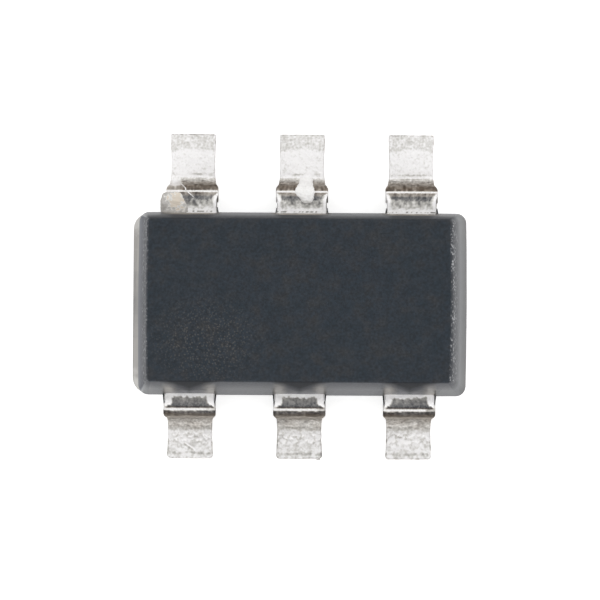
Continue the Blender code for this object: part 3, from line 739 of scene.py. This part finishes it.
from_pin = add_node(
    resin, "ShaderNodeMath", {0: spot.outputs["X"], 1: LEAD_PITCH / 2}, operation="PINGPONG"
)
side_facing = add_node(resin, "ShaderNodeMath", {0: turned.outputs["Y"]}, operation="ABSOLUTE")
on_side = add_node(
    resin, "ShaderNodeMapRange", {"Value": side_facing.outputs[0], "From Min": 0.5, "From Max": 0.9}
)
on_far = add_node(
    resin, "ShaderNodeMapRange", {"Value": turned.outputs["Y"], "From Min": 0.5, "From Max": 0.9}
)
on_near = add_node(
    resin, "ShaderNodeMapRange", {"Value": turned.outputs["Y"], "From Min": -0.5, "From Max": -0.9}
)
narrowing = add_node(
    resin, "ShaderNodeMapRange",
    {"Value": height_mm, "From Min": 1.15, "From Max": 0.75, "To Max": 0.25},
)
bowl = add_node(
    resin, "ShaderNodeMath",
    {0: narrowing.outputs[0], 1: on_near.outputs[0], 2: from_pin.outputs[0]},
    operation="MULTIPLY_ADD",
)
near_pin = add_node(
    resin, "ShaderNodeMapRange", {"Value": bowl.outputs[0], "From Min": 0.28, "From Max": 0.15}
)
pin_strength = add_node(
    resin, "ShaderNodeMapRange",
    {
        "Value": turned.outputs["Y"],
        "From Min": -0.9, "From Max": 0.9, "To Min": 1.0, "To Max": 0.91,
    },
)
pin_shade = add_node(
    resin, "ShaderNodeMath", {0: near_pin.outputs[0], 1: pin_strength.outputs[0]},
    operation="MULTIPLY",
)
far_rise = add_node(
    resin, "ShaderNodeMapRange",
    {"Value": height_mm, "From Min": 0.66, "From Max": 1.10, "To Max": 0.70},
)
far_shade = add_node(
    resin, "ShaderNodeMath", {0: far_rise.outputs[0], 1: on_far.outputs[0]}, operation="MULTIPLY"
)
over_pin = add_node(
    resin, "ShaderNodeMath", {0: pin_shade.outputs[0], 1: far_shade.outputs[0]}, operation="MAXIMUM"
)
arc_painted_shade = add_node(
    resin, "ShaderNodeMath", {0: over_pin.outputs[0], 1: on_side.outputs[0]}, operation="MULTIPLY"
)
arc_share = add_node(resin, "ShaderNodeMath", {0: arc_painted_shade.outputs[0], 1: 0.73}, operation="MULTIPLY")
with_painted_arcs = add_node(
    resin, "ShaderNodeMix", {0: arc_share.outputs[0], 6: with_rims.outputs[2], 7: ARC_PAINTED_SHADE},
    data_type="RGBA",
)

# A painted reflection of the pale leads lies as a patchy beige haze on the near wall beside each
# lead, and on the far wall just above it
LEAD_REFLECTION_BEIGE = linear("#A39C92")

haze_ring = add_node(
    resin, "ShaderNodeValToRGB", {"Fac": from_pin.outputs[0]},
    [(0.10, 0.0), (0.17, 1.0), (0.21, 1.0), (0.24, 0.0)],
)
low_wall = add_node(
    resin, "ShaderNodeMapRange", {"Value": height_mm, "From Min": 1.13, "From Max": 0.84}
)
haze_place = add_node(
    resin, "ShaderNodeMath", {0: haze_ring.outputs["Color"], 1: low_wall.outputs[0]},
    operation="MULTIPLY",
)
near_haze = add_node(
    resin, "ShaderNodeMath", {0: haze_place.outputs[0], 1: on_near.outputs[0]}, operation="MULTIPLY"
)
far_lip = add_node(
    resin, "ShaderNodeMapRange",
    {"Value": height_mm, "From Min": 0.84, "From Max": 0.74, "To Max": 1.9},
)
far_haze = add_node(
    resin, "ShaderNodeMath", {0: far_lip.outputs[0], 1: on_far.outputs[0]}, operation="MULTIPLY"
)
both_haze = add_node(
    resin, "ShaderNodeMath",
    {0: far_haze.outputs[0], 1: near_pin.outputs[0], 2: near_haze.outputs[0]},
    operation="MULTIPLY_ADD",
)
patchy_reflection = add_node(
    resin, "ShaderNodeMapRange",
    {
        "Value": tint.outputs["Fac"],
        "From Min": 0.35, "From Max": 0.65, "To Min": 0.28, "To Max": 0.62,
    },
)
above_lead = add_node(
    resin, "ShaderNodeMapRange",
    {"Value": height_mm, "From Min": STRIP_Z - 0.02, "From Max": STRIP_Z + 0.02},
)
patchy_reflection_here = add_node(
    resin, "ShaderNodeMath", {0: patchy_reflection.outputs[0], 1: above_lead.outputs[0]}, operation="MULTIPLY"
)
haze_share = add_node(
    resin, "ShaderNodeMath", {0: both_haze.outputs[0], 1: patchy_reflection_here.outputs[0]},
    operation="MULTIPLY",
)
with_haze = add_node(
    resin, "ShaderNodeMix", {0: haze_share.outputs[0], 6: with_painted_arcs.outputs[2], 7: LEAD_REFLECTION_BEIGE},
    data_type="RGBA",
)

# Flash: too thin to keep its carbon black, so the ledge just above the parting line looks pale. The
# webs beside the leads are thicker and stay black.
FLASH_TONES = [(0.35, "#A6A4A2"), (0.60, "#BAB7B3"), (0.86, "#BAB7B3"), (1.0, "#D6D4D0")]
WEB_BLACK = linear("#232426")
LEDGE_TOP = 0.6060
LEDGE_BASE = 0.5840

on_left = add_node(
    resin, "ShaderNodeMapRange", {"Value": spot.outputs["X"], "From Min": -1.30, "From Max": -1.36}
)
under_top = add_node(
    resin, "ShaderNodeMapRange",
    {"Value": height_mm, "From Min": LEDGE_TOP + 0.0015, "From Max": LEDGE_TOP},
)
over_base = add_node(
    resin, "ShaderNodeMapRange",
    {"Value": height_mm, "From Min": LEDGE_BASE - 0.0020, "From Max": LEDGE_BASE},
)
flash_band = add_node(
    resin, "ShaderNodeMath", {0: under_top.outputs[0], 1: over_base.outputs[0]},
    operation="MULTIPLY",
)
flash_mask = add_node(
    resin, "ShaderNodeMath", {0: flash_band.outputs[0], 1: on_left.outputs[0]}, operation="MULTIPLY"
)
across_body = add_node(
    resin, "ShaderNodeMath", {0: spot.outputs["Y"], 1: BODY_Y}, operation="SUBTRACT"
)
off_middle = add_node(resin, "ShaderNodeMath", {0: across_body.outputs[0]}, operation="ABSOLUTE")
ledge_light = add_node(
    resin, "ShaderNodeMath", {0: tint.outputs["Fac"], 1: 0.6, 2: off_middle.outputs[0]},
    operation="MULTIPLY_ADD",
)
ledge_tone = add_node(resin, "ShaderNodeValToRGB", {"Fac": ledge_light.outputs[0]}, FLASH_TONES)
with_flash = add_node(
    resin, "ShaderNodeMix",
    {0: flash_mask.outputs[0], 6: with_haze.outputs[2], 7: ledge_tone.outputs["Color"]},
    data_type="RGBA",
)
web_share = add_node(
    resin, "ShaderNodeMapRange",
    {
        "Value": off_middle.outputs[0],
        "From Min": BODY_WIDTH / 2 - 0.001,
        "From Max": BODY_WIDTH / 2 + 0.003,
    },
)
with_webs = add_node(
    resin, "ShaderNodeMix", {0: web_share.outputs[0], 6: with_flash.outputs[2], 7: WEB_BLACK},
    data_type="RGBA",
)

# The walls shine more than the top, apart from the dark arcs and the webs
resin_rough = add_node(
    resin, "ShaderNodeMapRange",
    {"Value": height_mm, "From Min": 0.85, "From Max": 1.10, "To Min": 0.30, "To Max": 0.52},
)
dull = add_node(
    resin, "ShaderNodeMath", {0: arc_painted_shade.outputs[0], 1: web_share.outputs[0]}, operation="MAXIMUM"
)
dull_rough = add_node(
    resin, "ShaderNodeMath", {0: dull.outputs[0], 1: 0.45, 2: resin_rough.outputs[0]},
    operation="MULTIPLY_ADD", use_clamp=True,
)
chip_relief = add_node(
    resin, "ShaderNodeMath", {0: chip_light.outputs["Color"], 1: rim_zone.outputs[0]},
    operation="MULTIPLY",
)
resin_relief = add_node(
    resin, "ShaderNodeMath", {0: chip_relief.outputs[0], 1: 3.0, 2: beads.outputs["Fac"]},
    operation="MULTIPLY_ADD",
)
resin_bump = add_node(
    resin, "ShaderNodeBump",
    {"Height": resin_relief.outputs[0], "Strength": 0.4, "Distance": RESIN_RELIEF},
)
set_shader(
    resin, resin_shader, Base_Color=with_webs.outputs[2], Roughness=dull_rough.outputs[0],
    Normal=resin_bump.outputs[0], IOR=1.55, Specular_IOR_Level=0.3,
)

block = bmesh.new()
block.from_mesh(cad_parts["mould_body"].data)
bmesh.ops.scale(block, vec=(MM_PER_METRE,) * 3, verts=block.verts)
bmesh.ops.remove_doubles(block, verts=block.verts, dist=WELD)
bmesh.ops.dissolve_limit(
    block, angle_limit=math.radians(FLAT_ANGLE_DEG), verts=block.verts, edges=block.edges
)
body = finish_piece("moulded_body", block, resin)
even_light = body.modifiers.new("even shading", "WEIGHTED_NORMAL")
even_light.keep_sharp = True
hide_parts("mould_body")


# Resin bleed: the clear binder of the compound that crept out before it set. A beige scab sits on
# the shoulder of lead 6 and hangs over its edge, and a pale drop ran down the bend of lead 5.
# Their outlines hold (along, left, right) places on the strip, in order.
SCAB_OUTLINE = [
    (-0.020, -0.262, -0.050), (0.030, -0.276, -0.036), (0.057, -0.278, -0.046),
    (0.090, -0.273, -0.066), (0.118, -0.262, -0.086), (0.130, -0.250, -0.098),
    (0.137, -0.232, -0.118),
]
DROP_OUTLINE = [
    (0.078, 0.020, 0.076), (0.087, 0.000, 0.090), (0.101, -0.016, 0.099), (0.118, -0.040, 0.104),
    (0.137, -0.062, 0.112), (0.166, -0.060, 0.105), (0.280, -0.050, 0.100), (0.530, -0.036, 0.096),
    (0.690, -0.026, 0.096), (0.735, -0.014, 0.080),
]
# How far a lump reaches down: into the plating, or past the lead's edge
BLEED_SEAT = 0.004
BLEED_HANG = 0.055


def blob(name, lead, outline, height, wobble, material):
    """A lump of bleed on a lead's top, inside an outline and this high."""
    mesh = bmesh.new()
    bmesh.ops.create_uvsphere(mesh, u_segments=96, v_segments=48, radius=1.0)
    row = ROWS[LEADS[lead][1]]
    top = STRIP_THICKNESS / 2
    for vertex in mesh.verts:
        x, y, z = vertex.co
        place = (y + 1) / 2 * (len(outline) - 1)
        before = min(int(place), len(outline) - 2)
        ends = zip(outline[before], outline[before + 1], strict=True)
        along, left, right = (a + (b - a) * (place - before) for a, b in ends)
        chord = math.sqrt(max(1 - y * y, 0.0))
        reach = x / chord * (1 + wobble * grain(x, place, 5.0, 0.4)) if chord > 0.001 else 0.0
        across = (left + right) / 2 + reach * (right - left) / 2
        over_edge = abs(across) > half_width(row, along) - BLEED_SEAT
        below = BLEED_HANG if over_edge else BLEED_SEAT
        rise = height * z * (1 + 0.35 * grain(x, place, 7.0, 0.5)) if z > 0 else below * z
        vertex.co = on_lead(lead, across, along, top + rise)
    return finish_piece(name, mesh, material)


# The scab is beige in its middle and thins out to a pale border and a grey film
SCAB_TONES = [
    (0.0, "#E2D7C8"), (0.44, "#DFD5C7"), (0.50, "#EFEDE9"), (0.62, "#CDCAC6"), (1.0, "#B0ACA7"),
]
SCAB_X, SCAB_Y = -1.070, 0.792
SCAB_WIDTH, SCAB_LENGTH = 0.095, 0.100
SCAB_GRAIN = 0.03

scab, scab_shader, scab_mm = new_material("beige resin bleed")
scab_noise = add_node(
    scab, "ShaderNodeTexNoise", {"Vector": scab_mm, "Scale": 1 / SCAB_GRAIN, "Detail": 3.0}
)
scab_place = add_node(
    scab, "ShaderNodeMapping",
    {
        "Vector": scab_mm,
        "Location": (-SCAB_X / SCAB_WIDTH, -SCAB_Y / SCAB_LENGTH, 0.0),
        "Scale": (1 / SCAB_WIDTH, 1 / SCAB_LENGTH, 0.0),
    },
)
scab_away = add_node(
    scab, "ShaderNodeVectorMath", {0: scab_place.outputs["Vector"]}, operation="LENGTH"
)
scab_border = add_node(
    scab, "ShaderNodeMath", {0: scab_noise.outputs["Fac"], 1: 2.4, 2: scab_away.outputs["Value"]},
    operation="MULTIPLY_ADD",
)
scab_share = add_node(
    scab, "ShaderNodeMapRange", {"Value": scab_border.outputs[0], "From Min": 1.0, "From Max": 2.8}
)
scab_tone = add_node(scab, "ShaderNodeValToRGB", {"Fac": scab_share.outputs[0]}, SCAB_TONES)
scab_bump = add_node(
    scab, "ShaderNodeBump",
    {"Height": scab_noise.outputs["Fac"], "Strength": 0.4, "Distance": 0.004 * MILLIMETRE},
)
set_shader(
    scab, scab_shader, Base_Color=scab_tone.outputs["Color"], Roughness=0.55,
    Normal=scab_bump.outputs[0], Specular_IOR_Level=0.4,
)
blob("resin_bleed_scab", "lead_6", SCAB_OUTLINE, 0.016, 0.05, scab)

DROP_GRAIN = 0.02

pale, pale_shader, pale_mm = new_material("pale resin bleed")
pale_noise = add_node(
    pale, "ShaderNodeTexNoise", {"Vector": pale_mm, "Scale": 1 / DROP_GRAIN, "Detail": 3.0}
)
pale_tone = add_node(
    pale, "ShaderNodeValToRGB", {"Fac": pale_noise.outputs["Fac"]},
    [(0.35, "#F6F4F2"), (0.6, "#FCFBFA")],
)
pale_bump = add_node(
    pale, "ShaderNodeBump",
    {"Height": pale_noise.outputs["Fac"], "Strength": 0.2, "Distance": 0.002 * MILLIMETRE},
)
set_shader(
    pale, pale_shader, Base_Color=pale_tone.outputs["Color"], Roughness=0.45,
    Normal=pale_bump.outputs[0],
)
blob("resin_bleed_drop", "lead_5", DROP_OUTLINE, 0.030, 0.08, pale)


# A hairline scratch down the leg and across the bend of lead 6, with a bright raised lip, and a
# curl of burr that the trimming tool left on the toe of lead 2. Both are the lead's own tin.
def sliver(name, points, radius, shade):
    """A thin round thread of tin through points in millimetres, thinning to both ends."""
    mesh = bmesh.new()
    burnish_and_shade = mesh.verts.layers.float.new("burnish_and_shade")
    rings = []
    for index, point in enumerate(points):
        ahead = points[min(index + 1, len(points) - 1)] - points[max(index - 1, 0)]
        facing_ahead = ahead.to_track_quat("Z", "Y").to_matrix().to_4x4()
        share = index / (len(points) - 1)
        size = radius * (0.25 + 0.75 * math.sin(math.pi * share) ** 0.5)
        place = Matrix.Translation(point) @ facing_ahead
        ring = bmesh.ops.create_circle(mesh, segments=8, radius=size, matrix=place)
        rings.append(ring["verts"])
    for before, after in zip(rings, rings[1:], strict=False):
        both = before + after
        edges = {e for v in both for e in v.link_edges if e.other_vert(v) in both}
        edges = [e for e in edges if (e.verts[0] in before) == (e.verts[1] in before)]
        bmesh.ops.bridge_loops(mesh, edges=edges)
    bmesh.ops.holes_fill(mesh, edges=[e for e in mesh.edges if len(e.link_faces) == 1])
    for vertex in mesh.verts:
        vertex[burnish_and_shade] = shade
    return finish_piece(name, mesh, tin)


# The scratch runs up the leg to the crest of the bend, and turns across the shoulder there
SCRATCH_STEPS = 24
SCRATCH_TURN = 0.55
SCRATCH_RADIUS = 0.0060

scratch = []
for step in range(SCRATCH_STEPS + 1):
    share = step / SCRATCH_STEPS
    up_leg = min(share / SCRATCH_TURN, 1.0)
    past_turn = max((share - SCRATCH_TURN) / (1 - SCRATCH_TURN), 0.0)
    across = -0.112 + 0.056 * up_leg + 0.070 * past_turn
    along = 0.64 - 0.492 * up_leg - 0.042 * past_turn
    scratch.append(on_lead("lead_6", across, along, STRIP_THICKNESS / 2 + 0.002))
sliver("scratch_lip", scratch, SCRATCH_RADIUS, 0.10)

BURR_STEPS = 12
BURR_LENGTH = 0.055
BURR_RADIUS = 0.006

curl = []
for step in range(BURR_STEPS + 1):
    share = step / BURR_STEPS
    across = 0.166 + 0.014 * math.sin(5 * share)
    along = ROWS["near"]["total"] - 0.012 + BURR_LENGTH * share
    curl.append(on_lead("lead_2", across, along, 0.012 - 0.05 * share + 0.02 * math.sin(4 * share)))
sliver("toe_burr", curl, BURR_RADIUS, 0.60)


# White ground: matte paper under the chip. It is brighter to the camera and in reflections, so that
# it looks plain white, and the chip's own soft shadow is left on it.
GROUND_REACH_METRES = 0.15

floor_mesh = bmesh.new()
bmesh.ops.create_grid(floor_mesh, x_segments=1, y_segments=1, size=GROUND_REACH_METRES)
floor_data = bpy.data.meshes.new("white_ground")
floor_mesh.to_mesh(floor_data)
floor_mesh.free()
paper, paper_shader, _ = new_material("white paper ground")
rays = add_node(paper, "ShaderNodeLightPath")
in_camera = add_node(
    paper, "ShaderNodeMath", {0: rays.outputs["Is Camera Ray"], 1: 0.62}, operation="MULTIPLY"
)
in_gloss = add_node(
    paper, "ShaderNodeMath",
    {0: rays.outputs["Is Glossy Ray"], 1: rays.outputs["Is Transmission Ray"]}, operation="ADD",
)
glow = add_node(
    paper, "ShaderNodeMath", {0: in_gloss.outputs[0], 1: 0.25, 2: in_camera.outputs[0]},
    operation="MULTIPLY_ADD",
)
set_shader(
    paper, paper_shader, Base_Color=linear("#F4F4F3"), Roughness=0.9, Specular_IOR_Level=0.0,
    Emission_Color=(1.0, 1.0, 1.0, 1.0), Emission_Strength=glow.outputs[0],
)
floor_data.materials.append(paper)
floor = bpy.data.objects.new("white_ground", floor_data)
bpy.context.scene.collection.objects.link(floor)


# A light tent of white cloth: bright all round above mid height, dimmer towards the ground, with
# a small dark opening straight above for the lens. Behind the chip the camera sees plain white.
TENT_GREYS = [(0.0, 0.35), (0.35, 0.60), (0.55, 1.0), (0.955, 1.0), (0.975, 0.12)]
TENT_STRENGTH = 1.25

world = bpy.data.worlds.new("light_tent")
bpy.context.scene.world = world
world.use_nodes = True
direction = add_node(world, "ShaderNodeTexCoord")
apart = add_node(world, "ShaderNodeSeparateXYZ", {0: direction.outputs["Generated"]})
tent_grey = add_node(world, "ShaderNodeValToRGB", {"Fac": apart.outputs["Z"]}, TENT_GREYS)
tent_light = world.node_tree.nodes["Background"]
world.node_tree.links.new(tent_grey.outputs["Color"], tent_light.inputs["Color"])
tent_light.inputs["Strength"].default_value = TENT_STRENGTH
white = add_node(world, "ShaderNodeBackground", {"Color": (1.0, 1.0, 1.0, 1.0)})
ray = add_node(world, "ShaderNodeLightPath")
choice = add_node(
    world, "ShaderNodeMixShader",
    {0: ray.outputs["Is Camera Ray"], 1: tent_light.outputs[0], 2: white.outputs[0]},
)
world_surface = world.node_tree.nodes["World Output"].inputs["Surface"]
world.node_tree.links.new(choice.outputs[0], world_surface)


# The camera looks down through a long lens, tipped and turned slightly as in the photograph, so
# that the near walls show. Its distance and aim are in metres.
CAMERA_DISTANCE = 0.0724
CAMERA_TILT_DEG = 3.4
CAMERA_ROLL_DEG = 0.35
AIM = Vector((0.0, -0.0000425, 0.0003))

lens = bpy.data.cameras.new("camera")
lens.lens = 500.0
lens.sensor_width = 36.0
lens.clip_start = 0.002
lens.clip_end = 10.0
camera = bpy.data.objects.new("camera", lens)
bpy.context.scene.collection.objects.link(camera)
tilted = Matrix.Rotation(math.radians(CAMERA_TILT_DEG), 4, "X")
rolled = Matrix.Rotation(math.radians(CAMERA_ROLL_DEG), 4, "Z")
backed_off = Matrix.Translation((0.0, 0.0, CAMERA_DISTANCE))
camera.matrix_world = Matrix.Translation(AIM) @ tilted @ rolled @ backed_off
bpy.context.scene.camera = camera
bpy.context.scene.view_settings.view_transform = "Standard"
